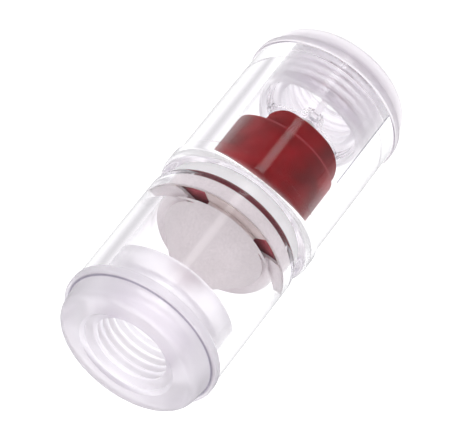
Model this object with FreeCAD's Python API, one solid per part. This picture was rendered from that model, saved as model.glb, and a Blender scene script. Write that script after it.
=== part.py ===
import FreeCAD, Part
import math
import os

# Impeller flow indicator: a clear two-piece sight tube with a threaded fitting in each end and
# a seal at the joint, a frosted flow cone in the inlet half and a red impeller in the outlet half.
# Millimetres. +Z runs from the outlet end (on which it stands, z = 0) to the inlet end.
# Distances named *_d are measured along the axis from the inlet flange's front line
# towards the outlet, and zed() turns them into heights. Angles named *_phase are degrees
# from the front (-Y), turning towards -X.

INLET_LINE_Z = 54.6          # height of the inlet flange's front line
FLANGE_SPAN = 51.1           # between the two flange front lines

# fittings (alike but for the plug)
COLLAR_LEN = 3.5             # collar in front of the flange line
COLLAR_R = 11.4              # collar at the flange
COLLAR_FRONT_R = 11.0        # collar just behind its rounded front edge
COLLAR_ROUND = 1.35          # rounding of the front edge
FLANGE_R = 12.2
FLANGE_T = 1.3
PLUG_R = 9.55
PLUG_END_D = 7.5             # inner end of the inlet plug
PLUG_CHAMFER = 0.8
OUTLET_PLUG_R = 8.55
OUTLET_PLUG_END_D = 6.9      # inner end of the outlet plug, from its own flange line
OUTLET_PLUG_CHAMFER = 0.45
MOUTH_R = 7.0                # thread mouth
MOUTH_FACE_R = 7.5           # where the mouth's rounding leaves the front face
THREAD_MINOR_R = 5.72        # wall of the threaded hole, 1/4 inch pipe thread
THREAD_START_D = -2.3        # after the mouth's lead-in
THREAD_END_D = 4.3
RELIEF_R = 7.7               # counterbore at the inner end

# clear inlet half
TUBE_R = 11.94
TUBE_BORE_R = 9.6
INLET_END_D = 22.3           # shoulder face
SHOULDER_ROUND = 1.05
CHAMFER_START_D = 17.0
CHAMFER_END_D = 19.4
COUNTERBORE_R = 10.3

# clear outlet half
NECK_END_D = 24.75
BEAD_R = 12.3
BEAD_END_D = 27.45
SPIGOT_R = 9.45
SPIGOT_END_D = 21.0
BORE_R = 8.6                 # rotor chamber, on to the outlet plug

# seal between the halves
SEAL_R = 10.86
SEAL_BORE_R = 9.47
SEAL_ROUND = 0.35
SEAL_CHAMFER_R = 9.95       # bevel of the bore at the inlet side
SEAL_CHAMFER_D = 22.8

# flow cone
CONE_APEX_D = 8.9            # point of the sharp cone, before rounding
CONE_SLOPE = 0.825           # radius per millimetre
CONE_ROUND = 1.2
CONE_BASE_D = 18.5
CONE_WALL = 1.1
RING_R = 10.25
RING_BORE_R = 9.5
RING_START_D = 19.4
RING_END_D = 21.6
BOSS_R = 1.9
BOSS_END_D = 20.25
BOSS_HOLE_END_D = 17.0
WEBS = ((0.0, 60.0), (110.0, 106.0), (-110.0, 106.0))   # middle and span of each web, with a window between each two
WEB_IN_R = 6.3
WEB_COLLAR_R = 7.4
WEB_OUT_R = 9.9
WEB_TOP_D = 18.2
WEB_START_D = 19.2
WEB_END_D = 19.65

# impeller
VANES = 6
VANE_T = 1.1
VANE_LEAD = 48.0             # axial length of one full turn of a vane
VANE_PHASE = 29.0            # at VANE_PHASE_D
VANE_PHASE_D = 39.6
ROTOR_START_D = 20.85
BAND_R = 8.2                 # drum around the vanes
BAND_BORE_R = 7.3
BAND_END_D = 36.5
LIP_BORE_R = 5.4             # end wall at the drum's inlet end
LIP_START_D = 20.0
LIP_T = 0.6
VANE_START_D = 21.2
VANE_TOP_D = 35.5
HUB_R = 2.3
HUB_TOP_D = 43.9
CROWNS = 2                   # raised pieces of wall on the drum's rim
CROWN_R = 7.95
CROWN_BORE_R = 7.05
CROWN_START_D = 35.6
CROWN_TOP_D = 39.5
CROWN_SPAN = 98.0
CROWN_PHASE = 13.0
CROWN_CORNER_A = 2.6         # width of the rounding at one upper corner
CROWN_CORNER_B = 5.2         # and at the other

# axle and its thrust washers
AXLE_R = 0.75
AXLE_START_D = 17.3
AXLE_END_D = 46.3
HOLE_R = 0.80                # bearing holes
WASHER_R = 1.7
WASHER_T = 0.4

# outlet bearing
SPIDER_RING_R = 7.65
SPIDER_RING_BORE_R = 7.0
SPIDER_START_D = 45.4
SPIDER_END_D = 46.55
SPIDER_HUB_R = 1.8
SPIDER_HUB_START_D = 44.6
SPIDER_ARMS = 3
SPIDER_ARM_W = 1.0
SPIDER_ARM_START_D = 45.0
SPIDER_ARM_END_D = 46.3

os.makedirs("parts", exist_ok=True)

V = FreeCAD.Vector
AXIS = V(0, 0, 1)


def zed(d):
    return INLET_LINE_Z - d


def profile(points):
    """Closed wire in the XZ plane from (radius, height, rounding) corners."""
    n = len(points)
    ends = []
    for i, (r, z, q) in enumerate(points):
        p = V(r, 0, z)
        if not q:
            ends.append((p, None, p))
            continue
        a = points[i - 1]
        b = points[(i + 1) % n]
        u = V(a[0] - r, 0, a[1] - z).normalize()
        w = V(b[0] - r, 0, b[1] - z).normalize()
        half = math.acos(max(-1.0, min(1.0, u.dot(w)))) / 2
        cut = q / math.tan(half)
        bis = (u + w).normalize()
        mid = p + bis * (q / math.sin(half) - q)
        ends.append((p + u * cut, mid, p + w * cut))
    edges = []
    for i in range(n):
        s, m, e = ends[i]
        if m is not None:
            edges.append(Part.Arc(s, m, e).toShape())
        nxt = ends[(i + 1) % n][0]
        if (nxt - e).Length > 1e-6:
            edges.append(Part.LineSegment(e, nxt).toShape())
    return Part.Wire(edges)


def turned(points, angle=360.0):
    face = Part.Face(profile(points))
    solid = face.revolve(V(0, 0, 0), AXIS, angle)
    if solid.Volume < 0:
        solid.reverse()
    return solid


def pts(rows):
    """(radius, distance, rounding) rows to (radius, height, rounding)."""
    return [(r, zed(d), q) for r, d, q in rows]


def drum(r, d0, d1):
    return Part.makeCylinder(r, abs(d1 - d0), V(0, 0, zed(max(d0, d1))))


def front_dir(deg):
    """Direction at deg from the front (-Y), turning towards -X."""
    a = math.radians(deg)
    return V(-math.sin(a), -math.cos(a), 0)


def export(shape, name):
    shape = shape.removeSplitter()
    solids = shape.Solids
    shape = solids[0] if len(solids) == 1 else Part.makeCompound(solids)
    assert shape.isValid(), name
    shape.exportStep("parts/%s.step" % name)
    print("%-18s solids %d  volume %8.2f mm3" % (name, len(solids), shape.Volume))


# ---- fittings -------------------------------------------------------------------------
def fitting_rows(plug_r, plug_end_d, plug_chamfer):
    return [
        (MOUTH_FACE_R, -COLLAR_LEN, 0),
        (COLLAR_FRONT_R, -COLLAR_LEN, COLLAR_ROUND),
        (COLLAR_R, 0.0, 0),
        (FLANGE_R, 0.0, 0.25),
        (FLANGE_R, FLANGE_T, 0.2),
        (plug_r, FLANGE_T, 0),
        (plug_r, plug_end_d, plug_chamfer),
        (RELIEF_R, plug_end_d, 0),
        (RELIEF_R, THREAD_END_D + 0.2, 0),
        (THREAD_MINOR_R, THREAD_END_D, 0),
        (THREAD_MINOR_R, THREAD_START_D, 0),
        (MOUTH_R, THREAD_START_D - 0.5, 0),
        (MOUTH_R, -COLLAR_LEN + 0.45, 0),
    ]


inlet_fitting = turned(pts(fitting_rows(PLUG_R, PLUG_END_D, PLUG_CHAMFER)))
outlet_fitting = turned(pts([(r, FLANGE_SPAN - d, q) for r, d, q in
                             reversed(fitting_rows(OUTLET_PLUG_R, OUTLET_PLUG_END_D, OUTLET_PLUG_CHAMFER))]))
export(inlet_fitting, "inlet_fitting")
export(outlet_fitting, "outlet_fitting")

# ---- clear inlet half -----------------------------------------------------------------
inlet_housing = turned(pts([
    (TUBE_BORE_R, FLANGE_T, 0),
    (TUBE_R, FLANGE_T, 0.15),
    (TUBE_R, INLET_END_D, SHOULDER_ROUND),
    (COUNTERBORE_R, INLET_END_D, 0.1),
    (COUNTERBORE_R, CHAMFER_END_D, 0),
    (TUBE_BORE_R, CHAMFER_START_D, 0),
]))
export(inlet_housing, "inlet_housing")

# ---- clear outlet half ----------------------------------------------------------------
outlet_end_d = FLANGE_SPAN - FLANGE_T
outlet_housing = turned(pts([
    (BORE_R, SPIGOT_END_D, 0.15),
    (SPIGOT_R, SPIGOT_END_D, 0.2),
    (SPIGOT_R, NECK_END_D, 0),
    (BEAD_R, NECK_END_D, 1.0),
    (BEAD_R, BEAD_END_D, 0.9),
    (TUBE_R, BEAD_END_D + 0.35, 0.25),
    (TUBE_R, outlet_end_d, 0.15),
    (BORE_R, outlet_end_d, 0),
]))
export(outlet_housing, "outlet_housing")

# ---- seal around the spigot, between the two halves --------------------------------------
joint_seal = turned(pts([
    (SEAL_BORE_R, SEAL_CHAMFER_D, 0.1),
    (SEAL_CHAMFER_R, INLET_END_D, 0.1),
    (SEAL_R, INLET_END_D, SEAL_ROUND),
    (SEAL_R, NECK_END_D, SEAL_ROUND),
    (SEAL_BORE_R, NECK_END_D, 0.1),
]))
export(joint_seal, "joint_seal")

# ---- flow cone with its ring, webs and bearing boss -------------------------------------
def cone_r(d, apex=CONE_APEX_D):
    return CONE_SLOPE * (d - apex)


half_angle = math.atan(CONE_SLOPE)
inner_apex_d = CONE_APEX_D + CONE_WALL / math.sin(half_angle)
ball_d = CONE_APEX_D + CONE_ROUND / math.sin(half_angle)
touch_d = ball_d - CONE_ROUND * math.sin(half_angle)
touch_r = CONE_ROUND * math.cos(half_angle)
tip_d = ball_d - CONE_ROUND
arc_mid = V(CONE_ROUND * math.sin(math.radians(25)), 0, zed(ball_d - CONE_ROUND * math.cos(math.radians(25))))
cone_edges = [
    Part.Arc(V(0, 0, zed(tip_d)), arc_mid, V(touch_r, 0, zed(touch_d))).toShape(),
    Part.LineSegment(V(touch_r, 0, zed(touch_d)), V(cone_r(CONE_BASE_D), 0, zed(CONE_BASE_D))).toShape(),
    Part.LineSegment(V(cone_r(CONE_BASE_D), 0, zed(CONE_BASE_D)),
                     V(cone_r(CONE_BASE_D, inner_apex_d), 0, zed(CONE_BASE_D))).toShape(),
    Part.LineSegment(V(cone_r(CONE_BASE_D, inner_apex_d), 0, zed(CONE_BASE_D)), V(0, 0, zed(inner_apex_d))).toShape(),
    Part.LineSegment(V(0, 0, zed(inner_apex_d)), V(0, 0, zed(tip_d))).toShape(),
]
flow_cone = Part.Face(Part.Wire(cone_edges)).revolve(V(0, 0, 0), AXIS, 360)
flow_cone = flow_cone.fuse(drum(BOSS_R, inner_apex_d + 0.3, BOSS_END_D))
flow_cone = flow_cone.fuse(turned(pts([
    (RING_BORE_R, RING_START_D, 0),
    (RING_R, RING_START_D, 0.1),
    (RING_R, RING_END_D, 0.1),
    (RING_BORE_R, RING_END_D, 0),
])))
for middle, span in WEBS:
    web = turned(pts([
        (WEB_IN_R, WEB_TOP_D, 0),
        (WEB_COLLAR_R, WEB_TOP_D, 0),
        (WEB_COLLAR_R, WEB_START_D, 0),
        (WEB_OUT_R, WEB_START_D, 0),
        (WEB_OUT_R, WEB_END_D, 0),
        (WEB_IN_R, WEB_END_D, 0),
    ]), span)
    web.rotate(V(0, 0, 0), AXIS, -90.0 - span / 2 - middle)
    flow_cone = flow_cone.fuse(web)
flow_cone = flow_cone.cut(drum(HOLE_R, BOSS_HOLE_END_D, BOSS_END_D + 1))
export(flow_cone, "flow_cone")

# ---- impeller: helical vanes on a hub, in a drum whose rim has raised pieces of wall -------
def vane_angle(d):
    return VANE_PHASE - 360.0 * (d - VANE_PHASE_D) / VANE_LEAD


def vane_section(deg, d):
    u = front_dir(deg)
    w = V(-u.y, u.x, 0)
    z = V(0, 0, zed(d))
    r0, r1, t = 0.9, BAND_R + 0.9, VANE_T / 2
    c = [z + u * r0 + w * t, z + u * r1 + w * t, z + u * r1 - w * t, z + u * r0 - w * t]
    return Part.makePolygon(c + [c[0]])


rotor = drum(HUB_R, ROTOR_START_D, HUB_TOP_D)
rotor_drum = turned(pts([
    (LIP_BORE_R, LIP_START_D, 0.15),
    (BAND_R, LIP_START_D, 0.3),
    (BAND_R, BAND_END_D, 0.4),
    (BAND_BORE_R, BAND_END_D, 0.3),
    (BAND_BORE_R, LIP_START_D + LIP_T, 0.2),
    (LIP_BORE_R, LIP_START_D + LIP_T, 0.15),
]))
section_count = 13
lo_d, hi_d = VANE_START_D - 0.6, VANE_TOP_D + 0.6
steps = [lo_d + (hi_d - lo_d) * i / (section_count - 1) for i in range(section_count)]
vane = Part.makeLoft([vane_section(vane_angle(d), d) for d in steps], True, False)
vane = vane.common(drum(BAND_BORE_R, VANE_START_D, VANE_TOP_D))
for k in range(VANES):
    blade = vane.copy()
    blade.rotate(V(0, 0, 0), AXIS, 360.0 * k / VANES)
    rotor = rotor.fuse(blade)


def crown(phase):
    """Part of a tube wall, cut to a round-cornered outline seen along its middle direction."""
    mid_r = (CROWN_R + CROWN_BORE_R) / 2
    half = math.radians(CROWN_SPAN / 2)
    rise = CROWN_TOP_D - BAND_END_D

    def corner(sign, width):
        out = []
        for i in range(9):
            t = math.pi / 2 * i / 8
            a = half - width * (1 - math.cos(t)) / CROWN_R
            out.append((sign * mid_r * math.sin(a), zed(BAND_END_D + rise * math.sin(t))))
        return out

    left = corner(-1, CROWN_CORNER_B)
    right = corner(1, CROWN_CORNER_A)
    lift = 3.0                                  # the outline starts on the hub side of the wall
    to_point = lambda p: V(p[0], -lift, p[1])
    foot_l = V(left[0][0], -lift, zed(CROWN_START_D))
    foot_r = V(right[0][0], -lift, zed(CROWN_START_D))
    left_curve, right_curve = Part.BSplineCurve(), Part.BSplineCurve()
    left_curve.interpolate([to_point(p) for p in left])
    right_curve.interpolate([to_point(p) for p in reversed(right)])
    edges = [
        Part.LineSegment(foot_l, to_point(left[0])).toShape(),
        left_curve.toShape(),
        Part.LineSegment(to_point(left[-1]), to_point(right[-1])).toShape(),
        right_curve.toShape(),
        Part.LineSegment(to_point(right[0]), foot_r).toShape(),
        Part.LineSegment(foot_r, foot_l).toShape(),
    ]
    block = Part.Face(Part.Wire(edges)).extrude(V(0, -6, 0))
    span = CROWN_SPAN + 20.0
    wall = turned(pts([
        (CROWN_BORE_R, CROWN_START_D, 0),
        (CROWN_R, CROWN_START_D, 0),
        (CROWN_R, CROWN_TOP_D + 1, 0),
        (CROWN_BORE_R, CROWN_TOP_D + 1, 0),
    ]), span)
    wall.rotate(V(0, 0, 0), AXIS, -90.0 - span / 2)
    piece = wall.common(block)
    piece.rotate(V(0, 0, 0), AXIS, -phase)
    return piece


for k in range(CROWNS):
    before = rotor_drum.Volume
    piece = crown(CROWN_PHASE + 360.0 / CROWNS * k)
    rotor_drum = rotor_drum.fuse(piece)
    assert 0.5 * piece.Volume < rotor_drum.Volume - before < piece.Volume
rotor = rotor.cut(drum(AXLE_R, ROTOR_START_D - 1, HUB_TOP_D + 1))
export(rotor, "rotor")
export(rotor_drum, "rotor_drum")

# ---- axle and thrust washers -----------------------------------------------------------
axle = turned(pts([
    (0, AXLE_START_D, 0),
    (AXLE_R, AXLE_START_D, 0.15),
    (AXLE_R, AXLE_END_D, 0.15),
    (0, AXLE_END_D, 0),
]))
export(axle, "axle")
for name, d0 in (("inlet_washer", ROTOR_START_D - WASHER_T), ("outlet_washer", HUB_TOP_D)):
    export(turned(pts([
        (AXLE_R, d0, 0),
        (WASHER_R, d0, 0),
        (WASHER_R, d0 + WASHER_T, 0),
        (AXLE_R, d0 + WASHER_T, 0),
    ])), name)

# ---- outlet bearing ---------------------------------------------------------------------
spider = drum(SPIDER_RING_R, SPIDER_START_D, SPIDER_END_D).cut(
    drum(SPIDER_RING_BORE_R, SPIDER_START_D - 1, SPIDER_END_D + 1))
spider = spider.fuse(drum(SPIDER_HUB_R, SPIDER_HUB_START_D, SPIDER_END_D))
for k in range(SPIDER_ARMS):
    arm = Part.makeBox(SPIDER_RING_R - 0.3, SPIDER_ARM_W, SPIDER_ARM_END_D - SPIDER_ARM_START_D,
                       V(0, -SPIDER_ARM_W / 2, zed(SPIDER_ARM_END_D)))
    arm.rotate(V(0, 0, 0), AXIS, -90 + 120 * k)
    spider = spider.fuse(arm)
spider = spider.cut(drum(HOLE_R, SPIDER_HUB_START_D - 1, SPIDER_END_D + 1))
export(spider, "outlet_bearing")
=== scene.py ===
import math
import bmesh
import bpy
import numpy as np
from mathutils import Matrix, Vector


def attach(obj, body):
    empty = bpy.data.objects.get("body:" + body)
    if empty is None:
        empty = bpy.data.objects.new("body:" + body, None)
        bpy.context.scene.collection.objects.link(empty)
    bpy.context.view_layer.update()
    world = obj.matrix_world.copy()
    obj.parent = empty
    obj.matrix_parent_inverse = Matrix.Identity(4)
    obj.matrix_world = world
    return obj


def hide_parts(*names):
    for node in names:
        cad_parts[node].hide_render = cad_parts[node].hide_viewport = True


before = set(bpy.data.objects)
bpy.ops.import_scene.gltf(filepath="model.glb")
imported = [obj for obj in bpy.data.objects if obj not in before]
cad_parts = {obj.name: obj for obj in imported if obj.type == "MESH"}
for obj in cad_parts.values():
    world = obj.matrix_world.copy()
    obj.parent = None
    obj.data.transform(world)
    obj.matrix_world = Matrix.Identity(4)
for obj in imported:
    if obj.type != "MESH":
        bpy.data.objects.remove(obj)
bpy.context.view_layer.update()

scene = bpy.context.scene
MM = 0.001

# ------------------------------------------------------------------------------------------
# dimensions in millimetres; *_d is the distance along the axis from the inlet flange's line
# ------------------------------------------------------------------------------------------
INLET_LINE_Z = 54.6
FLANGE_SPAN = 51.1
COLLAR_LEN, COLLAR_R, COLLAR_FRONT_R, COLLAR_ROUND = 3.5, 11.4, 11.0, 1.35
FLANGE_R, FLANGE_T = 12.2, 1.3
PLUG_R, PLUG_END_D, PLUG_CHAMFER = 9.55, 7.5, 0.8
OUTLET_PLUG_R, OUTLET_PLUG_END_D, OUTLET_PLUG_CHAMFER = 8.55, 6.9, 0.45
MOUTH_R, MOUTH_FACE_R = 7.0, 7.5
THREAD_MINOR_R, THREAD_MAJOR_R, THREAD_PITCH = 5.72, 6.58, 1.337
THREAD_START_D, THREAD_END_D, RELIEF_R = -2.3, 4.3, 7.7
TUBE_R, TUBE_BORE_R, INLET_END_D, SHOULDER_ROUND = 11.94, 9.6, 22.3, 1.05
CHAMFER_START_D, CHAMFER_END_D, COUNTERBORE_R = 17.0, 19.4, 10.3
NECK_END_D, BEAD_R, BEAD_END_D = 24.75, 12.3, 27.45
SPIGOT_R, SPIGOT_END_D = 9.45, 21.0
BORE_R = 8.6
MOULD_LINE_DEG = 43.9
SEAL_R, SEAL_BORE_R, SEAL_CHAMFER_R, SEAL_CHAMFER_D = 10.86, 9.45, 9.95, 22.8
CONE_APEX_D, CONE_SLOPE, CONE_ROUND, CONE_BASE_D, CONE_WALL = 8.9, 0.825, 1.2, 18.5, 1.1
RING_R, RING_BORE_R, RING_START_D, RING_END_D = 10.25, 9.5, 19.4, 21.6
BOSS_R, BOSS_END_D, BOSS_HOLE_END_D = 1.9, 20.25, 17.0
WEB_IN_R, WEB_COLLAR_R, WEB_OUT_R, WEB_TOP_D, WEB_START_D, WEB_END_D = 6.3, 7.4, 9.9, 18.2, 19.2, 19.65
WEBS = ((0.0, 60.0), (110.0, 106.0), (-110.0, 106.0))
VANES, VANE_T, VANE_LEAD, VANE_PHASE, VANE_PHASE_D = 6, 1.1, 48.0, 29.0, 39.6
ROTOR_START_D, BAND_R, BAND_BORE_R, BAND_END_D = 20.85, 8.2, 7.3, 36.5
LIP_BORE_R, LIP_START_D, LIP_T = 5.4, 20.0, 0.6
CROWNS, CROWN_R, CROWN_BORE_R, CROWN_TOP_D, CROWN_SPAN, CROWN_PHASE, CROWN_START_D = 2, 7.95, 7.05, 39.5, 98.0, 13.0, 35.6
CROWN_CORNER_A, CROWN_CORNER_B = 2.6, 5.2
VANE_TOP_D, HUB_TOP_D, HUB_R = 35.5, 43.9, 2.3
AXLE_R, AXLE_START_D, AXLE_END_D, HOLE_R = 0.75, 17.3, 46.3, 0.80
WASHER_R, WASHER_T = 1.7, 0.4
SPIDER_RING_R, SPIDER_RING_BORE_R, SPIDER_START_D, SPIDER_END_D = 7.65, 7.0, 45.4, 46.55
SPIDER_HUB_R, SPIDER_HUB_START_D, SPIDER_ARM_W, SPIDER_ARM_START_D, SPIDER_ARM_END_D = 1.8, 44.6, 1.0, 45.0, 46.3

SEGMENTS = 224


def zed(d):
    return INLET_LINE_Z - d


# ------------------------------------------------------------------------------------------
# turned pieces
# ------------------------------------------------------------------------------------------
def smooth_profile(rows, support=0.06, arc_steps=10):
    """(r, d, rounding) corners to a dense closed (r, d) outline with support points beside each corner."""
    n = len(rows)
    out = []
    for i, (r, d, q) in enumerate(rows):
        p = np.array([r, d], float)
        a = np.array(rows[i - 1][:2], float) - p
        b = np.array(rows[(i + 1) % n][:2], float) - p
        la, lb = np.linalg.norm(a), np.linalg.norm(b)
        u, w = a / la, b / lb
        if not q:
            sa, sb = min(support, la * 0.2), min(support, lb * 0.2)
            out += [p + u * sa, p, p + w * sb]
            continue
        half = math.acos(max(-1.0, min(1.0, float(u @ w)))) / 2
        cut = q / math.tan(half)
        bis = (u + w) / np.linalg.norm(u + w)
        c = p + bis * (q / math.sin(half))
        s, e = p + u * cut, p + w * cut
        a0 = math.atan2(*(s - c)[::-1])
        a1 = math.atan2(*(e - c)[::-1])
        da = (a1 - a0 + math.pi) % (2 * math.pi) - math.pi
        out.append(s + u * min(support, max(la - cut, 0) * 0.2))
        for k in range(arc_steps + 1):
            t = a0 + da * k / arc_steps
            out.append(c + q * np.array([math.cos(t), math.sin(t)]))
        out.append(e + w * min(support, max(lb - cut, 0) * 0.2))
    keep = [out[0]]
    for p in out[1:]:
        if np.linalg.norm(p - keep[-1]) > 1e-4:
            keep.append(p)
    if np.linalg.norm(keep[0] - keep[-1]) < 1e-4:
        keep.pop()
    return keep


def lathe_mesh(name, outline, segments=SEGMENTS, displace=None, sharp=28.0):
    """Revolves a closed (r, d) outline about the axis. displace(r, d, angle) may change a point's radius."""
    verts, faces = [], []
    rings = []
    for r, d in outline:
        if r < 1e-6:
            rings.append([len(verts)])
            verts.append((0.0, 0.0, zed(d) * MM))
            continue
        ring = []
        for s in range(segments):
            t = 2 * math.pi * s / segments
            rr = r if displace is None else displace(r, d, t)
            ring.append(len(verts))
            verts.append((rr * math.cos(t) * MM, rr * math.sin(t) * MM, zed(d) * MM))
        rings.append(ring)
    n = len(rings)
    for i in range(n):
        a, b = rings[i], rings[(i + 1) % n]
        if len(a) == 1 and len(b) == 1:
            continue
        for s in range(segments):
            t = (s + 1) % segments
            if len(a) == 1:
                faces.append((a[0], b[s], b[t]))
            elif len(b) == 1:
                faces.append((a[s], b[0], a[t]))
            else:
                faces.append((a[s], b[s], b[t], a[t]))
    mesh = bpy.data.meshes.new(name)
    mesh.from_pydata(verts, [], faces)
    finish_mesh(mesh, sharp)
    return mesh


def sector_mesh(name, outline, centre_deg, span_deg, steps=24):
    """A closed (r, d) outline swept through part of a turn about the axis; 0 degrees is the near side."""
    verts, faces = [], []
    n = len(outline)
    for s in range(steps + 1):
        t = math.radians(centre_deg + span_deg * (s / steps - 0.5))
        for r, d in outline:
            verts.append((-math.sin(t) * r * MM, -math.cos(t) * r * MM, zed(d) * MM))
    for s in range(steps):
        for i in range(n):
            j = (i + 1) % n
            faces.append((s * n + i, s * n + j, (s + 1) * n + j, (s + 1) * n + i))
    faces.append(tuple(range(n)))
    faces.append(tuple(steps * n + i for i in range(n)))
    mesh = bpy.data.meshes.new(name)
    mesh.from_pydata(verts, [], faces)
    finish_mesh(mesh)
    return mesh


def finish_mesh(mesh, sharp=28.0):
    bm = bmesh.new()
    bm.from_mesh(mesh)
    bmesh.ops.recalc_face_normals(bm, faces=bm.faces)
    bm.to_mesh(mesh)
    bm.free()
    mesh.polygons.foreach_set("use_smooth", [True] * len(mesh.polygons))
    mesh.set_sharp_from_angle(angle=math.radians(sharp))
    mesh.update()


def add_piece(name, mesh, body, replaced, material):
    o = bpy.data.objects.new(name, mesh)
    scene.collection.objects.link(o)
    mesh.materials.clear()
    mesh.materials.append(material)
    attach(o, body)
    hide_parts(replaced)
    return o


def union(name, meshes, sharp=28.0):
    """One closed mesh from several closed ones."""
    objs = []
    for i, m in enumerate(meshes):
        o = bpy.data.objects.new("%s_tmp%d" % (name, i), m)
        scene.collection.objects.link(o)
        objs.append(o)
    base = objs[0]
    for o in objs[1:]:
        mod = base.modifiers.new("join", "BOOLEAN")
        mod.operation = "UNION"
        mod.solver = "EXACT"
        mod.object = o
    bpy.context.view_layer.update()
    got = bpy.data.meshes.new_from_object(base.evaluated_get(bpy.context.evaluated_depsgraph_get()))
    got.name = name
    for o in objs:
        m = o.data
        bpy.data.objects.remove(o)
        bpy.data.meshes.remove(m)
    finish_mesh(got, sharp)
    return got


def box_mesh(name, lo, hi, turn=0.0, bevel=0.12):
    bm = bmesh.new()
    bmesh.ops.create_cube(bm, size=1.0)
    for v in bm.verts:
        v.co = Vector([(lo[k] + hi[k]) / 2 + v.co[k] * (hi[k] - lo[k]) for k in range(3)]) * MM
    if bevel:
        bmesh.ops.bevel(bm, geom=list(bm.edges), offset=bevel * MM, segments=3, profile=0.5, affect="EDGES")
    bmesh.ops.rotate(bm, verts=bm.verts, cent=(0, 0, 0), matrix=Matrix.Rotation(turn, 3, "Z"))
    mesh = bpy.data.meshes.new(name)
    bm.to_mesh(mesh)
    bm.free()
    return mesh


# ------------------------------------------------------------------------------------------
# materials
# ------------------------------------------------------------------------------------------
class Graph:
    def __init__(self, name):
        self.mat = bpy.data.materials.new(name)
        self.mat.use_nodes = True
        self.nt = self.mat.node_tree
        self.nt.nodes.clear()
        self.out = self.nt.nodes.new("ShaderNodeOutputMaterial")

    def node(self, kind, **props):
        n = self.nt.nodes.new(kind)
        for k, v in props.items():
            setattr(n, k, v)
        return n

    def link(self, a, b):
        self.nt.links.new(a, b)

    def coords(self, scale=(1, 1, 1), turn=(0, 0, 0)):
        tc = self.node("ShaderNodeTexCoord")
        mp = self.node("ShaderNodeMapping")
        mp.inputs["Scale"].default_value = scale
        mp.inputs["Rotation"].default_value = turn
        self.link(tc.outputs["Object"], mp.inputs["Vector"])
        return mp.outputs["Vector"]

    def noise(self, vec, scale, detail=4.0, rough=0.55, distortion=0.0):
        n = self.node("ShaderNodeTexNoise")
        n.inputs["Scale"].default_value = scale
        n.inputs["Detail"].default_value = detail
        n.inputs["Roughness"].default_value = rough
        n.inputs["Distortion"].default_value = distortion
        self.link(vec, n.inputs["Vector"])
        return n.outputs["Fac"]

    def span(self, fac, lo, hi, a=0.0, b=1.0):
        m = self.node("ShaderNodeMapRange")
        m.inputs["From Min"].default_value = a
        m.inputs["From Max"].default_value = b
        m.inputs["To Min"].default_value = lo
        m.inputs["To Max"].default_value = hi
        self.link(fac, m.inputs["Value"])
        return m.outputs["Result"]

    def ramp(self, fac, stops):
        r = self.node("ShaderNodeValToRGB")
        e = r.color_ramp.elements
        while len(e) > 1:
            e.remove(e[-1])
        e[0].position, e[0].color = stops[0][0], (*stops[0][1], 1)
        for p, c in stops[1:]:
            k = e.new(p)
            k.color = (*c, 1)
        self.link(fac, r.inputs["Fac"])
        return r.outputs["Color"]

    def math(self, op, a, b=None):
        m = self.node("ShaderNodeMath", operation=op)
        for i, x in enumerate((a, b)):
            if x is None:
                continue
            if isinstance(x, (int, float)):
                m.inputs[i].default_value = x
            else:
                self.link(x, m.inputs[i])
        return m.outputs[0]

    def bump(self, height, strength, distance, normal=None):
        b = self.node("ShaderNodeBump")
        b.inputs["Strength"].default_value = strength
        b.inputs["Distance"].default_value = distance
        self.link(height, b.inputs["Height"])
        if normal is not None:
            self.link(normal, b.inputs["Normal"])
        return b.outputs["Normal"]

    def principled(self, **values):
        p = self.node("ShaderNodeBsdfPrincipled")
        for k, v in values.items():
            p.inputs[k.replace("_", " ")].default_value = v
        self.link(p.outputs["BSDF"], self.out.inputs["Surface"])
        return p


def clear_plastic():
    g = Graph("clear_plastic")
    p = g.principled(IOR=1.49, Transmission_Weight=1.0, Specular_Tint=(0.15, 0.15, 0.15, 1))
    v = g.coords()
    cloud = g.noise(v, 260.0, 3.0, 0.5)
    tint = g.ramp(cloud, [(0.3, (0.983, 0.976, 0.987)), (0.7, (0.987, 0.980, 0.990))])
    tc = g.node("ShaderNodeTexCoord")
    sep = g.node("ShaderNodeSeparateXYZ")
    g.link(tc.outputs["Object"], sep.inputs[0])
    x, y, z = (sep.outputs[k] for k in "XYZ")
    sn, cs = math.sin(math.radians(MOULD_LINE_DEG)), math.cos(math.radians(MOULD_LINE_DEG))
    across = g.math("ABSOLUTE", g.math("SUBTRACT", g.math("MULTIPLY", x, cs), g.math("MULTIPLY", y, sn)))
    out = g.math("ADD", g.math("MULTIPLY", x, -sn), g.math("MULTIPLY", y, -cs))
    line = g.span(across, 1.0, 0.0, 0.00006, 0.00015)
    line = g.math("MULTIPLY", line, g.math("GREATER_THAN", out, 0.0105))
    line = g.math("MULTIPLY", line, g.math("LESS_THAN", g.math("ABSOLUTE", g.math("SUBTRACT", z, zed(42.2) * MM)), 0.0075))
    mix = g.node("ShaderNodeMix", data_type="RGBA")
    g.link(line, mix.inputs[0])
    g.link(tint, mix.inputs[6])
    mix.inputs[7].default_value = (0.16, 0.16, 0.20, 1)
    g.link(mix.outputs[2], p.inputs["Base Color"])
    g.link(g.span(cloud, 0.0, 0.035, 0.35, 0.75), p.inputs["Roughness"])
    return g.mat


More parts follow.
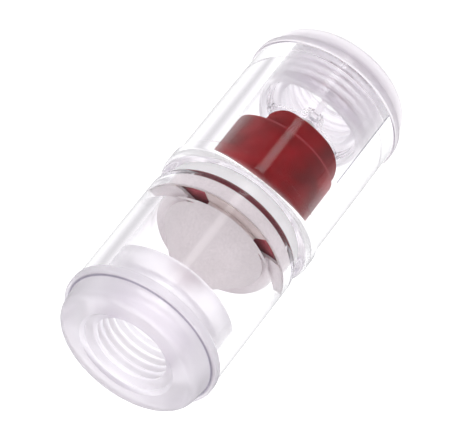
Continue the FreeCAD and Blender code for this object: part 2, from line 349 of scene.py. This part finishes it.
def milky_plastic():
    g = Graph("milky_plastic")
    p = g.principled(IOR=1.45, Transmission_Weight=1.0, Roughness=0.35)
    v = g.coords()
    cloud = g.noise(v, 180.0, 4.0, 0.55)
    col = g.ramp(cloud, [(0.3, (0.954, 0.929, 0.962)), (0.7, (0.971, 0.947, 0.978))])
    tc = g.node("ShaderNodeTexCoord")
    sep = g.node("ShaderNodeSeparateXYZ")
    g.link(tc.outputs["Object"], sep.inputs[0])
    x, y, z = (sep.outputs[k] for k in "XYZ")
    rad = g.math("SQRT", g.math("ADD", g.math("MULTIPLY", x, x), g.math("MULTIPLY", y, y)))
    # painted shade: a thin dark line in the corner where each collar meets its flange
    near = g.math("ABSOLUTE", g.math("SUBTRACT", z, zed(0.0) * MM))
    far = g.math("ABSOLUTE", g.math("SUBTRACT", z, zed(FLANGE_SPAN) * MM))
    level = g.span(g.math("MINIMUM", near, far), 1.0, 0.0, 0.00002, 0.00022)
    ring = g.span(g.math("ABSOLUTE", g.math("SUBTRACT", rad, (COLLAR_R + 0.05) * MM)), 1.0, 0.0, 0.0001, 0.0004)
    mix = g.node("ShaderNodeMix", data_type="RGBA")
    g.link(g.math("MULTIPLY", level, ring), mix.inputs[0])
    g.link(col, mix.inputs[6])
    mix.inputs[7].default_value = (0.22, 0.19, 0.28, 1)
    # the collar ends of both fittings a little darker than the rest
    collar = g.span(g.math("ABSOLUTE", g.math("SUBTRACT", z, zed(FLANGE_SPAN / 2) * MM)), 0.0, 1.0, 0.0240, 0.0252)
    collar_darken = g.node("ShaderNodeMix", data_type="RGBA", blend_type="MULTIPLY")
    g.link(collar, collar_darken.inputs[0])
    g.link(mix.outputs[2], collar_darken.inputs[6])
    collar_darken.inputs[7].default_value = (0.938, 0.92, 0.944, 1)
    foot = g.node("ShaderNodeMix", data_type="RGBA", blend_type="MULTIPLY")
    g.link(g.math("MULTIPLY", g.span(z, 1.0, 0.0, 0.0047, 0.0055), g.span(rad, 0.0, 1.0, 0.0090, 0.0104)), foot.inputs[0])
    g.link(collar_darken.outputs[2], foot.inputs[6])
    foot.inputs[7].default_value = (0.875, 0.855, 0.865, 1)
    g.link(foot.outputs[2], p.inputs["Base Color"])
    haze = g.noise(v, 420.0, 3.0, 0.6)
    g.link(g.span(haze, 0.32, 0.42, 0.3, 0.7), p.inputs["Roughness"])
    return g.mat


def frosted_plastic():
    g = Graph("frosted_plastic")
    p = g.principled(IOR=1.5, Roughness=0.7)
    v = g.coords()
    grain = g.noise(v, 3200.0, 5.0, 0.65)
    cloud = g.noise(v, 240.0, 3.0, 0.5)
    mix = g.math("ADD", g.math("MULTIPLY", grain, 0.65), g.math("MULTIPLY", cloud, 0.35))
    col = g.ramp(mix, [(0.3, (0.65, 0.59, 0.60)), (0.7, (0.83, 0.765, 0.775))])
    tc = g.node("ShaderNodeTexCoord")
    sep = g.node("ShaderNodeSeparateXYZ")
    g.link(tc.outputs["Object"], sep.inputs[0])
    x, y, z = (sep.outputs[k] for k in "XYZ")
    rad = g.math("SQRT", g.math("ADD", g.math("MULTIPLY", x, x), g.math("MULTIPLY", y, y)))
    band = g.node("ShaderNodeMix", data_type="RGBA", blend_type="MULTIPLY")
    g.link(g.span(rad, 0.0, 1.0, (RING_R - 0.25) * MM, (RING_R - 0.05) * MM), band.inputs[0])
    g.link(col, band.inputs[6])
    band.inputs[7].default_value = (1.13, 1.12, 1.13, 1)
    # painted shade on the front of the web plate, darker and beige; painted light on the plate's sides and back,
    # lighter
    level = g.span(g.math("ABSOLUTE", g.math("SUBTRACT", z, zed(WEB_START_D) * MM)), 1.0, 0.0, 0.0003, 0.0005)
    plate_front_shade = g.node("ShaderNodeMix", data_type="RGBA", blend_type="MULTIPLY")
    flat = g.math("MULTIPLY", level, g.math("LESS_THAN", rad, WEB_OUT_R * MM))
    front = g.span(y, 1.0, 0.0, -0.0060, -0.0045)
    g.link(g.math("MULTIPLY", flat, front), plate_front_shade.inputs[0])
    g.link(band.outputs[2], plate_front_shade.inputs[6])
    plate_front_shade.inputs[7].default_value = (0.94, 0.86, 0.82, 1)
    plate_side_light = g.node("ShaderNodeMix", data_type="RGBA", blend_type="MULTIPLY")
    g.link(g.math("MULTIPLY", flat, g.math("SUBTRACT", 1.0, front)), plate_side_light.inputs[0])
    g.link(plate_front_shade.outputs[2], plate_side_light.inputs[6])
    plate_side_light.inputs[7].default_value = (1.13, 1.13, 1.14, 1)
    g.link(plate_side_light.outputs[2], p.inputs["Base Color"])
    g.link(g.span(grain, 0.55, 0.85, 0.3, 0.7), p.inputs["Roughness"])
    g.link(g.bump(grain, 0.35, 0.00004), p.inputs["Normal"])
    return g.mat


def red_plastic():
    g = Graph("red_plastic")
    p = g.principled(IOR=1.5, Roughness=0.3, Specular_IOR_Level=0.02)
    v = g.coords()
    cloud = g.noise(v, 200.0, 2.0, 0.45, 0.3)
    fine = g.noise(v, 1800.0, 4.0, 0.6)
    col = g.ramp(cloud, [(0.3, (0.14, 0.003, 0.005)), (0.5, (0.235, 0.007, 0.011)), (0.7, (0.36, 0.016, 0.022))])
    tc = g.node("ShaderNodeTexCoord")
    sep = g.node("ShaderNodeSeparateXYZ")
    g.link(tc.outputs["Object"], sep.inputs[0])
    # painted highlight: a lighter red along the rounded top edge of the band
    rim = g.math("ABSOLUTE", g.math("SUBTRACT", sep.outputs["Z"], zed(BAND_END_D - 0.2) * MM))
    rim_highlight = g.span(rim, 1.0, 0.0, 0.0, 0.0004)
    mix = g.node("ShaderNodeMix", data_type="RGBA")
    g.link(rim_highlight, mix.inputs[0])
    g.link(col, mix.inputs[6])
    mix.inputs[7].default_value = (0.38, 0.05, 0.06, 1)
    # painted light: the rotor's inlet end, which sits in shade under the flow cone, painted a paler red
    inlet_end_light = g.node("ShaderNodeMix", data_type="RGBA")
    g.link(g.span(sep.outputs["Z"], 0.0, 1.0, zed(24.6) * MM, zed(22.6) * MM), inlet_end_light.inputs[0])
    g.link(mix.outputs[2], inlet_end_light.inputs[6])
    inlet_end_light.inputs[7].default_value = (0.60, 0.13, 0.16, 1)
    g.link(inlet_end_light.outputs[2], p.inputs["Base Color"])
    g.link(g.span(fine, 0.34, 0.52, 0.3, 0.7), p.inputs["Roughness"])
    g.link(g.bump(fine, 0.01, 0.00002), p.inputs["Normal"])
    return g.mat


def steel():
    g = Graph("steel")
    p = g.principled(Metallic=1.0, Roughness=0.28)
    v = g.coords(scale=(1, 1, 0.05))
    lines = g.noise(v, 5200.0, 3.0, 0.6)
    col = g.ramp(lines, [(0.3, (0.66, 0.66, 0.68)), (0.7, (0.82, 0.82, 0.84))])
    g.link(col, p.inputs["Base Color"])
    g.link(g.span(lines, 0.2, 0.38, 0.3, 0.7), p.inputs["Roughness"])
    return g.mat


def white_washer():
    g = Graph("white_washer")
    p = g.principled(IOR=1.4, Roughness=0.45)
    v = g.coords()
    cloud = g.noise(v, 900.0, 4.0, 0.55)
    g.link(g.ramp(cloud, [(0.3, (0.78, 0.78, 0.77)), (0.7, (0.88, 0.88, 0.87))]), p.inputs["Base Color"])
    g.link(g.span(cloud, 0.35, 0.55, 0.3, 0.7), p.inputs["Roughness"])
    return g.mat


def seal_rubber():
    g = Graph("seal_rubber")
    p = g.principled(IOR=1.41, Roughness=0.4, Transmission_Weight=0.4)
    v = g.coords()
    cloud = g.noise(v, 320.0, 4.0, 0.55)
    g.link(g.ramp(cloud, [(0.3, (0.98, 0.965, 0.982)), (0.7, (0.995, 0.983, 0.997))]), p.inputs["Base Color"])
    fine = g.noise(v, 1500.0, 3.0, 0.6)
    g.link(g.span(fine, 0.3, 0.5, 0.3, 0.7), p.inputs["Roughness"])
    g.link(g.bump(fine, 0.1, 0.00002), p.inputs["Normal"])
    return g.mat


def bearing_plastic():
    g = Graph("bearing_plastic")
    p = g.principled(IOR=1.3, Roughness=0.25, Transmission_Weight=1.0)
    v = g.coords()
    cloud = g.noise(v, 500.0, 4.0, 0.55)
    g.link(g.ramp(cloud, [(0.3, (0.985, 0.97, 0.988)), (0.7, (0.995, 0.985, 0.997))]), p.inputs["Base Color"])
    haze = g.noise(v, 700.0, 3.0, 0.6)
    g.link(g.span(haze, 0.18, 0.32, 0.3, 0.7), p.inputs["Roughness"])
    return g.mat


M_CLEAR = clear_plastic()
M_MILKY = milky_plastic()
M_FROST = frosted_plastic()
M_RED = red_plastic()
M_STEEL = steel()
M_WASHER = white_washer()
M_BEARING = bearing_plastic()
M_SEAL = seal_rubber()

# ------------------------------------------------------------------------------------------
# fittings with their helical thread
# ------------------------------------------------------------------------------------------
def fitting_rows(plug_r, plug_end_d, plug_chamfer):
    return [
        (MOUTH_FACE_R, -COLLAR_LEN, 0),
        (COLLAR_FRONT_R, -COLLAR_LEN, COLLAR_ROUND),
        (COLLAR_R, 0.0, 0),
        (FLANGE_R, 0.0, 0.25),
        (FLANGE_R, FLANGE_T, 0.2),
        (plug_r, FLANGE_T, 0),
        (plug_r, plug_end_d, plug_chamfer),
        (RELIEF_R, plug_end_d, 0),
        (RELIEF_R, THREAD_END_D + 0.2, 0),
        (THREAD_MINOR_R, THREAD_END_D, 0),
        (THREAD_MINOR_R, THREAD_START_D, 0),
        (MOUTH_R, THREAD_START_D - 0.5, 0),
        (MOUTH_R, -COLLAR_LEN + 0.45, 0),
    ]


def thread_depth(phase):
    """0 at the crest, 1 at the root of a rounded pipe thread."""
    x = abs(((phase + 0.5) % 1.0) - 0.5) * 2
    t = min(1.0, max(0.0, (x - 0.16) / 0.68))
    return t * t * (3 - 2 * t)


def thread_lathe(name, mirrored):
    outline = smooth_profile(fitting_rows(OUTLET_PLUG_R, OUTLET_PLUG_END_D, OUTLET_PLUG_CHAMFER) if mirrored
                             else fitting_rows(PLUG_R, PLUG_END_D, PLUG_CHAMFER))
    fine = []
    n = len(outline)
    for i, p in enumerate(outline):
        q = outline[(i + 1) % n]
        fine.append(p)
        if abs(p[0] - THREAD_MINOR_R) < 0.01 and abs(q[0] - THREAD_MINOR_R) < 0.01:
            k = int(abs(q[1] - p[1]) / 0.105)
            fine += [p + (q - p) * j / (k + 1) for j in range(1, k + 1)]

    def displace(r, d, t):
        if abs(r - THREAD_MINOR_R) > 0.01:
            return r
        edge = min(d - THREAD_START_D, THREAD_END_D - d)
        fade = min(1.0, max(0.0, edge / 0.5))
        dd = FLANGE_SPAN - d if mirrored else d
        phase = zed(dd) / THREAD_PITCH - t / (2 * math.pi)
        return r + (THREAD_MAJOR_R - THREAD_MINOR_R) * thread_depth(phase) * fade

    verts_outline = [np.array([p[0], FLANGE_SPAN - p[1]]) for p in fine] if mirrored else fine
    if mirrored:
        return lathe_mesh(name, verts_outline, displace=lambda r, d, t: displace(r, FLANGE_SPAN - d, t))
    return lathe_mesh(name, verts_outline, displace=displace)


inlet_fitting = add_piece("inlet_fitting_visual", thread_lathe("inlet_fitting_visual", False),
                          "housing", "inlet_fitting", M_MILKY)
outlet_fitting = add_piece("outlet_fitting_visual", thread_lathe("outlet_fitting_visual", True),
                           "housing", "outlet_fitting", M_MILKY)

# ------------------------------------------------------------------------------------------
# clear halves
# ------------------------------------------------------------------------------------------
inlet_rows = [
    (TUBE_BORE_R, FLANGE_T + 0.02, 0),
    (TUBE_R, FLANGE_T + 0.02, 0.15),
    (TUBE_R, INLET_END_D - 0.02, SHOULDER_ROUND),
    (COUNTERBORE_R, INLET_END_D - 0.02, 0.1),
    (COUNTERBORE_R, CHAMFER_END_D, 0),
    (TUBE_BORE_R, CHAMFER_START_D, 0),
]
outlet_end_d = FLANGE_SPAN - FLANGE_T
outlet_rows = [
    (BORE_R, SPIGOT_END_D, 0.15),
    (SPIGOT_R, SPIGOT_END_D, 0.2),
    (SPIGOT_R, NECK_END_D, 0),
    (BEAD_R, NECK_END_D, 1.0),
    (BEAD_R, BEAD_END_D, 0.2),
    (TUBE_R, BEAD_END_D + 0.08, 0.1),
    (TUBE_R, outlet_end_d - 0.02, 0.15),
    (BORE_R, outlet_end_d - 0.02, 0),
]
inlet_housing = add_piece("inlet_housing_visual", lathe_mesh("inlet_housing_visual", smooth_profile(inlet_rows)),
                          "housing", "inlet_housing", M_CLEAR)
outlet_housing = add_piece("outlet_housing_visual", lathe_mesh("outlet_housing_visual", smooth_profile(outlet_rows)),
                           "housing", "outlet_housing", M_CLEAR)

joint_seal_mesh = lathe_mesh("joint_seal_visual", smooth_profile([
    (SEAL_BORE_R + 0.02, SEAL_CHAMFER_D, 0.1), (SEAL_CHAMFER_R, INLET_END_D + 0.01, 0.1), (SEAL_R, INLET_END_D + 0.01, 0.35),
    (SEAL_R, NECK_END_D - 0.02, 0.35), (SEAL_BORE_R + 0.02, NECK_END_D - 0.02, 0.1)], arc_steps=6))
joint_seal = add_piece("joint_seal_visual", joint_seal_mesh, "housing", "joint_seal", M_SEAL)

# ------------------------------------------------------------------------------------------
# flow cone
# ------------------------------------------------------------------------------------------
half_angle = math.atan(CONE_SLOPE)
inner_apex_d = CONE_APEX_D + CONE_WALL / math.sin(half_angle)
ball_d = CONE_APEX_D + CONE_ROUND / math.sin(half_angle)
cone_outline = [np.array([0.0, ball_d - CONE_ROUND])]
for k in range(1, 13):
    t = (math.pi / 2 - half_angle) * k / 12
    cone_outline.append(np.array([CONE_ROUND * math.sin(t), ball_d - CONE_ROUND * math.cos(t)]))
r_out = CONE_SLOPE * (CONE_BASE_D - CONE_APEX_D)
r_in = CONE_SLOPE * (CONE_BASE_D - inner_apex_d)
cone_outline += [
    np.array([r_out - 0.12 * CONE_SLOPE, CONE_BASE_D - 0.12]),
    np.array([r_out - 0.05, CONE_BASE_D - 0.03]),
    np.array([r_out - 0.12, CONE_BASE_D]),
    np.array([r_in + 0.12, CONE_BASE_D]),
    np.array([r_in, CONE_BASE_D]),
    np.array([0.0, inner_apex_d]),
]
cone_parts = [lathe_mesh("cone_shell", cone_outline, segments=160)]
cone_parts.append(lathe_mesh("cone_ring", smooth_profile([
    (RING_BORE_R, RING_START_D, 0.08),
    (RING_R, RING_START_D, 0.1),
    (RING_R, RING_END_D, 0.1),
    (RING_BORE_R, RING_END_D, 0.08),
], arc_steps=3), segments=160))
cone_parts.append(lathe_mesh("cone_boss", smooth_profile([
    (0.0, inner_apex_d - 0.6, 0), (BOSS_R, inner_apex_d + 0.3, 0), (BOSS_R, BOSS_END_D, 0.2),
    (HOLE_R, BOSS_END_D, 0.1), (HOLE_R, BOSS_HOLE_END_D, 0), (0.0, BOSS_HOLE_END_D, 0)], arc_steps=4), segments=72))
web_outline = [(WEB_IN_R, WEB_TOP_D), (WEB_COLLAR_R, WEB_TOP_D), (WEB_COLLAR_R, WEB_START_D), (WEB_OUT_R, WEB_START_D),
               (WEB_OUT_R, WEB_END_D), (WEB_IN_R, WEB_END_D)]
for k, (centre, span) in enumerate(WEBS):
    cone_parts.append(sector_mesh("cone_web%d" % k, web_outline, centre, span, steps=48))
flow_cone = add_piece("flow_cone_visual", union("flow_cone_visual", cone_parts), "housing", "flow_cone", M_FROST)

# ------------------------------------------------------------------------------------------
# impeller: helical vanes on a hub, in a drum with raised pieces of wall on its rim
# ------------------------------------------------------------------------------------------
def vane_mesh(name, k):
    ds = np.linspace(ROTOR_START_D + 0.35, VANE_TOP_D, 30)
    rs = np.linspace(1.3, BAND_BORE_R + 0.02, 16)
    verts, faces, index = [], [], {}
    for side in (1, -1):
        for j, d in enumerate(ds):
            for i, r in enumerate(rs):
                t = VANE_T / 2 + 0.35 * max(0.0, 1 - (r - HUB_R) / 0.8) ** 2 if r > HUB_R else VANE_T / 2 + 0.35
                t *= 1.0 if 0 < j < len(ds) - 1 else 0.62
                a = math.radians(VANE_PHASE - 360.0 * (d - VANE_PHASE_D) / VANE_LEAD + 360.0 * k / VANES)
                ux, uy = -math.sin(a), -math.cos(a)
                index[side, j, i] = len(verts)
                verts.append(((ux * r - uy * t * side) * MM, (uy * r + ux * t * side) * MM, zed(d) * MM))
    nd, nr = len(ds), len(rs)
    for j in range(nd - 1):
        for i in range(nr - 1):
            for side in (1, -1):
                faces.append([index[side, j, i], index[side, j, i + 1], index[side, j + 1, i + 1], index[side, j + 1, i]])
    for j in range(nd - 1):
        for i in (0, nr - 1):
            faces.append([index[1, j, i], index[1, j + 1, i], index[-1, j + 1, i], index[-1, j, i]])
    for i in range(nr - 1):
        for j in (0, nd - 1):
            faces.append([index[1, j, i], index[1, j, i + 1], index[-1, j, i + 1], index[-1, j, i]])
    mesh = bpy.data.meshes.new(name)
    mesh.from_pydata(verts, [], faces)
    bm = bmesh.new()
    bm.from_mesh(mesh)
    bmesh.ops.recalc_face_normals(bm, faces=bm.faces)
    bm.to_mesh(mesh)
    bm.free()
    return mesh


def crown_mesh(name, k):
    """A raised piece of wall on the band's rim with rounded upper corners and edges."""
    na, nd, q = 64, 20, 0.3
    half = CROWN_SPAN / 2
    verts, faces, index = [], [], {}
    mid, th = (CROWN_R + CROWN_BORE_R) / 2, (CROWN_R - CROWN_BORE_R) / 2
    rise = CROWN_TOP_D - BAND_END_D
    for i in range(na + 1):
        u = -math.cos(math.pi * i / na)
        arc = (1 - abs(u)) * math.radians(half) * CROWN_R
        x = min(1.0, arc / (CROWN_CORNER_A if u < 0 else CROWN_CORNER_B))
        top = max(CROWN_TOP_D - rise * (1 - math.sqrt(max(0.0, 1 - (1 - x) ** 2))), BAND_END_D + 0.02)
        for j in range(nd + 1):
            v = math.sin(math.pi / 2 * j / nd)
            d = CROWN_START_D + (top - CROWN_START_D) * v
            edge = min(arc, top - d)
            f = 1.0 if edge >= q else math.sqrt(max(0.0, 1 - (1 - edge / q) ** 2))
            a = math.radians(CROWN_PHASE + 360.0 / CROWNS * k + half * u)
            for side in (1, -1):
                if side == -1 and (i in (0, na) or j == nd):
                    index[side, i, j] = index[1, i, j]
                    continue
                r = mid + side * th * f
                index[side, i, j] = len(verts)
                verts.append((-math.sin(a) * r * MM, -math.cos(a) * r * MM, zed(d) * MM))
    for i in range(na):
        for j in range(nd):
            for side in (1, -1):
                faces.append([index[side, i, j], index[side, i + 1, j], index[side, i + 1, j + 1], index[side, i, j + 1]])
        q4 = [index[1, i, 0], index[1, i + 1, 0], index[-1, i + 1, 0], index[-1, i, 0]]
        q4 = [x for m, x in enumerate(q4) if x not in q4[:m]]
        if len(q4) >= 3:
            faces.append(q4)
    mesh = bpy.data.meshes.new(name)
    mesh.from_pydata(verts, [], faces)
    bm = bmesh.new()
    bm.from_mesh(mesh)
    bmesh.ops.remove_doubles(bm, verts=bm.verts, dist=1e-7)
    bmesh.ops.recalc_face_normals(bm, faces=bm.faces)
    bm.to_mesh(mesh)
    bm.free()
    return mesh


dome_top_d = HUB_TOP_D
hub_outline = [np.array([AXLE_R, ROTOR_START_D])]
hub_outline += [np.array([HUB_R - 0.25, ROTOR_START_D]), np.array([HUB_R - 0.07, ROTOR_START_D + 0.07]), np.array([HUB_R, ROTOR_START_D + 0.25])]
hub_outline += [np.array([HUB_R, d]) for d in np.linspace(ROTOR_START_D + 0.6, dome_top_d - 1.2, 12)]
for k in range(1, 9):
    t = math.pi / 2 * k / 8
    hub_outline.append(np.array([HUB_R - 1.0 + 1.0 * math.cos(t), dome_top_d - 1.0 + 1.0 * math.sin(t)]))
hub_outline.append(np.array([AXLE_R, dome_top_d]))
rotor_parts = [lathe_mesh("rotor_hub", hub_outline, segments=72)]
rotor_parts += [vane_mesh("rotor_vane%d" % k, k) for k in range(VANES)]
rotor = add_piece("rotor_visual", union("rotor_visual", rotor_parts, 40.0), "rotor", "rotor", M_RED)
drum_parts = [lathe_mesh("rotor_band", smooth_profile([
    (LIP_BORE_R, LIP_START_D, 0.15), (BAND_R, LIP_START_D, 0.3),
    (BAND_R, BAND_END_D, 0.4), (BAND_BORE_R, BAND_END_D, 0.3),
    (BAND_BORE_R, LIP_START_D + LIP_T, 0.2), (LIP_BORE_R, LIP_START_D + LIP_T, 0.15)], arc_steps=6), segments=160)]
drum_parts += [crown_mesh("rotor_crown%d" % k, k) for k in range(CROWNS)]
rotor_drum = add_piece("rotor_drum_visual", union("rotor_drum_visual", drum_parts, 40.0), "rotor", "rotor_drum", M_RED)

# ------------------------------------------------------------------------------------------
# axle, washers and outlet bearing
# ------------------------------------------------------------------------------------------
axle = add_piece("axle_visual", lathe_mesh("axle_visual", smooth_profile([
    (0.0, AXLE_START_D, 0), (AXLE_R, AXLE_START_D, 0.15), (AXLE_R, AXLE_END_D, 0.15), (0.0, AXLE_END_D, 0)], arc_steps=5),
    segments=48), "rotor", "axle", M_STEEL)
for name, d0 in (("inlet_washer", ROTOR_START_D - WASHER_T), ("outlet_washer", dome_top_d)):
    add_piece(name + "_visual", lathe_mesh(name + "_visual", smooth_profile([
        (AXLE_R, d0, 0.04), (WASHER_R, d0, 0.08), (WASHER_R, d0 + WASHER_T, 0.08), (AXLE_R, d0 + WASHER_T, 0.04)], support=0.03, arc_steps=4),
        segments=72), "rotor", name, M_WASHER)
spider_parts = [
    lathe_mesh("spider_ring", smooth_profile([
        (SPIDER_RING_BORE_R, SPIDER_START_D, 0.12), (SPIDER_RING_R, SPIDER_START_D, 0.15),
        (SPIDER_RING_R, SPIDER_END_D, 0.15), (SPIDER_RING_BORE_R, SPIDER_END_D, 0.12)], arc_steps=4), segments=120),
    lathe_mesh("spider_hub", smooth_profile([
        (HOLE_R, SPIDER_HUB_START_D, 0.08), (SPIDER_HUB_R, SPIDER_HUB_START_D, 0.2),
        (SPIDER_HUB_R, SPIDER_END_D, 0.2), (HOLE_R, SPIDER_END_D, 0.08)], arc_steps=4), segments=72),
]
for k in range(3):
    spider_parts.append(box_mesh("spider_arm%d" % k, (1.3, -SPIDER_ARM_W / 2, zed(SPIDER_ARM_END_D)),
                                 (SPIDER_RING_R - 0.3, SPIDER_ARM_W / 2, zed(SPIDER_ARM_START_D)), turn=math.radians(-90 + 120 * k)))
outlet_bearing = add_piece("outlet_bearing_visual", union("outlet_bearing_visual", spider_parts), "housing", "outlet_bearing",
                           M_BEARING)

# ------------------------------------------------------------------------------------------
# floor, light, camera
# ------------------------------------------------------------------------------------------
def floor():
    mesh = bpy.data.meshes.new("floor")
    s = 3.0
    mesh.from_pydata([(-s, -s, 0), (s, -s, 0), (s, s, 0), (-s, s, 0)], [], [(0, 1, 2, 3)])
    o = bpy.data.objects.new("floor", mesh)
    scene.collection.objects.link(o)
    g = Graph("floor_paper")
    p = g.principled(Roughness=0.9, Specular_IOR_Level=0.0, Emission_Strength=0.95)
    v = g.coords()
    fibre = g.noise(v, 400.0, 3.0, 0.5)
    g.link(g.ramp(fibre, [(0.3, (0.24, 0.24, 0.243)), (0.7, (0.26, 0.26, 0.263))]), p.inputs["Base Color"])
    g.link(g.ramp(fibre, [(0.3, (0.98, 0.98, 0.985)), (0.7, (1.0, 1.0, 1.0))]), p.inputs["Emission Color"])
    mesh.materials.append(g.mat)
    return o


floor()


def area(name, loc, target, size, power, colour=(1, 1, 1), size_y=None, camera=False):
    light = bpy.data.lights.new(name, "AREA")
    light.energy = power
    light.color = colour
    light.size = size
    if size_y is not None:
        light.shape = "RECTANGLE"
        light.size_y = size_y
    o = bpy.data.objects.new(name, light)
    scene.collection.objects.link(o)
    o.location = loc
    o.rotation_euler = (Vector(target) - Vector(loc)).to_track_quat("-Z", "Y").to_euler()
    o.visible_camera = camera
    return o


area("top_box", (0.15, 0.1, 0.9), (0, 0, 0.03), 0.7, 2.9)

world = bpy.data.worlds.new("studio")
scene.world = world
world.use_nodes = True
wn = world.node_tree
wn.nodes.clear()
w_out = wn.nodes.new("ShaderNodeOutputWorld")
w_bg = wn.nodes.new("ShaderNodeBackground")
w_tc = wn.nodes.new("ShaderNodeTexCoord")
w_sep = wn.nodes.new("ShaderNodeSeparateXYZ")
w_ramp = wn.nodes.new("ShaderNodeValToRGB")
wn.links.new(w_tc.outputs["Generated"], w_sep.inputs[0])
wn.links.new(w_sep.outputs["Z"], w_ramp.inputs["Fac"])
wn.links.new(w_ramp.outputs["Color"], w_bg.inputs["Color"])
wn.links.new(w_bg.outputs[0], w_out.inputs["Surface"])
e = w_ramp.color_ramp.elements
e[0].position, e[0].color = 0.0, (0.80, 0.80, 0.82, 1)
e[1].position, e[1].color = 1.0, (0.95, 0.95, 0.95, 1)
k = e.new(0.35)
k.color = (0.85, 0.85, 0.87, 1)
w_bg.inputs["Strength"].default_value = 1.35


def flag(name, x0, x1, y0, y1, z, tone=0.016, through=False):
    """A dark card on the table that only shows in reflections."""
    mesh = bpy.data.meshes.new(name)
    mesh.from_pydata([(x0, y0, z), (x1, y0, z), (x1, y1, z), (x0, y1, z)], [], [(0, 1, 2, 3)])
    o = bpy.data.objects.new(name, mesh)
    scene.collection.objects.link(o)
    g = Graph(name)
    p = g.principled(Roughness=0.9)
    v = g.coords()
    g.link(g.ramp(g.noise(v, 60.0), [(0.3, (tone * 0.9,) * 3), (0.7, (tone * 1.1,) * 3)]), p.inputs["Base Color"])
    mesh.materials.append(g.mat)
    o.visible_camera = False
    o.visible_diffuse = False
    o.visible_transmission = through
    o.visible_shadow = False
    return o


flag("flag_front", -0.5, 0.5, -0.6, -0.02, 0.0006, tone=0.3)
flag("flag_left", 0.014, 0.5, -0.014, 0.5, 0.0006, tone=0.3)
flag("flag_right", -0.5, -0.014, -0.014, 0.5, 0.0006, tone=0.3)
flag("flag_back", -0.014, 0.014, 0.014, 0.5, 0.0006, tone=0.3)

# bright card on the table in front of the tube, a wedge so that its reflection along the
# tube's near side keeps one width
def streak_card(apex, direction, s0, s1, half_angle, radiance):
    ux, uy = direction
    mesh = bpy.data.meshes.new("streak_card")
    wide = math.tan(half_angle * 2.0)
    verts = [(-s0 * wide, s0, 0), (s0 * wide, s0, 0), (s1 * wide, s1, 0), (-s1 * wide, s1, 0)]
    mesh.from_pydata(verts, [], [(0, 1, 2, 3)])
    o = bpy.data.objects.new("streak_card", mesh)
    scene.collection.objects.link(o)
    o.location = (apex[0], apex[1], 0.0012)
    o.rotation_euler = (0, 0, math.atan2(uy, ux) - math.pi / 2)
    g = Graph("streak_card")
    tc = g.node("ShaderNodeTexCoord")
    sep = g.node("ShaderNodeSeparateXYZ")
    g.link(tc.outputs["Object"], sep.inputs[0])
    slant = g.math("ABSOLUTE", g.math("DIVIDE", sep.outputs["X"], sep.outputs["Y"]))
    fall = g.node("ShaderNodeMapRange", interpolation_type="SMOOTHSTEP")
    fall.inputs["From Min"].default_value = half_angle * 0.4
    fall.inputs["From Max"].default_value = half_angle * 1.7
    fall.inputs["To Min"].default_value = radiance
    fall.inputs["To Max"].default_value = 0.0
    g.link(slant, fall.inputs["Value"])
    emit = g.node("ShaderNodeEmission")
    g.link(fall.outputs["Result"], emit.inputs["Strength"])
    g.link(emit.outputs[0], g.out.inputs["Surface"])
    mesh.materials.append(g.mat)
    o.visible_camera = False
    o.visible_diffuse = False
    o.visible_transmission = False
    o.visible_shadow = False
    return o


streak_card((0.0, -0.00602), (0.2, -0.98), 0.010, 0.101, 0.09, 11.0)


# softly darker sector of the table behind the tube's left side, seen only through the clear wall
def shade_card(apex, mid, half, s0, s1, low, high):
    mesh = bpy.data.meshes.new("shade_card")
    steps = 24
    verts, faces = [], []
    for i in range(steps + 1):
        a = mid - half + 2 * half * i / steps
        for q in (s0, s1):
            verts.append((q * math.sin(a), q * math.cos(a), 0.0))
    for i in range(steps):
        faces.append((2 * i, 2 * i + 1, 2 * i + 3, 2 * i + 2))
    mesh.from_pydata(verts, [], faces)
    o = bpy.data.objects.new("shade_card", mesh)
    scene.collection.objects.link(o)
    o.location = (apex[0], apex[1], 0.0004)
    g = Graph("shade_card")
    tc = g.node("ShaderNodeTexCoord")
    sep = g.node("ShaderNodeSeparateXYZ")
    g.link(tc.outputs["Object"], sep.inputs[0])
    turn = g.math("ARCTAN2", sep.outputs["X"], sep.outputs["Y"])
    off = g.math("ABSOLUTE", g.math("SUBTRACT", turn, mid))
    fall = g.node("ShaderNodeMapRange", interpolation_type="SMOOTHSTEP")
    fall.inputs["From Min"].default_value = 0.0
    fall.inputs["From Max"].default_value = half
    fall.inputs["To Min"].default_value = low
    fall.inputs["To Max"].default_value = high
    g.link(off, fall.inputs["Value"])
    emit = g.node("ShaderNodeEmission")
    emit.inputs["Color"].default_value = (0.985, 0.965, 1.0, 1)
    reach = g.math("SQRT", g.math("ADD", g.math("MULTIPLY", sep.outputs["X"], sep.outputs["X"]), g.math("MULTIPLY", sep.outputs["Y"], sep.outputs["Y"])))
    fade = g.node("ShaderNodeMapRange", interpolation_type="SMOOTHSTEP")
    fade.inputs["From Min"].default_value = s1 * 0.5
    fade.inputs["From Max"].default_value = s1
    fade.inputs["To Min"].default_value = 0.0
    fade.inputs["To Max"].default_value = high
    g.link(reach, fade.inputs["Value"])
    g.link(g.math("MAXIMUM", fall.outputs["Result"], fade.outputs["Result"]), emit.inputs["Strength"])
    g.link(emit.outputs[0], g.out.inputs["Surface"])
    mesh.materials.append(g.mat)
    o.visible_camera = False
    o.visible_diffuse = False
    o.visible_glossy = False
    o.visible_shadow = False
    return o


shade_card((0.0118, -0.001), math.radians(43.0), math.radians(29.0), 0.0025, 0.15, 0.75, 1.2)

cam = bpy.data.cameras.new("camera")
cam.sensor_width = 36.0
cam.lens = 288.2
cam.clip_start = 0.01
cam_obj = bpy.data.objects.new("camera", cam)
scene.collection.objects.link(cam_obj)
right = Vector((-0.785293, -0.347419, -0.512460))
up = Vector((0.619124, -0.440184, -0.650325))
back = Vector((0.000358, -0.827972, 0.560770))
rot = Matrix((right, up, back)).transposed()
cam_obj.matrix_world = Matrix.Translation((0.0, -0.4377, 0.3257)) @ rot.to_4x4()
scene.camera = cam_obj

scene.view_settings.view_transform = "Standard"
scene.cycles.max_bounces = 64
scene.cycles.transmission_bounces = 64
scene.cycles.glossy_bounces = 64
scene.cycles.transparent_max_bounces = 16
scene.cycles.use_denoising = True
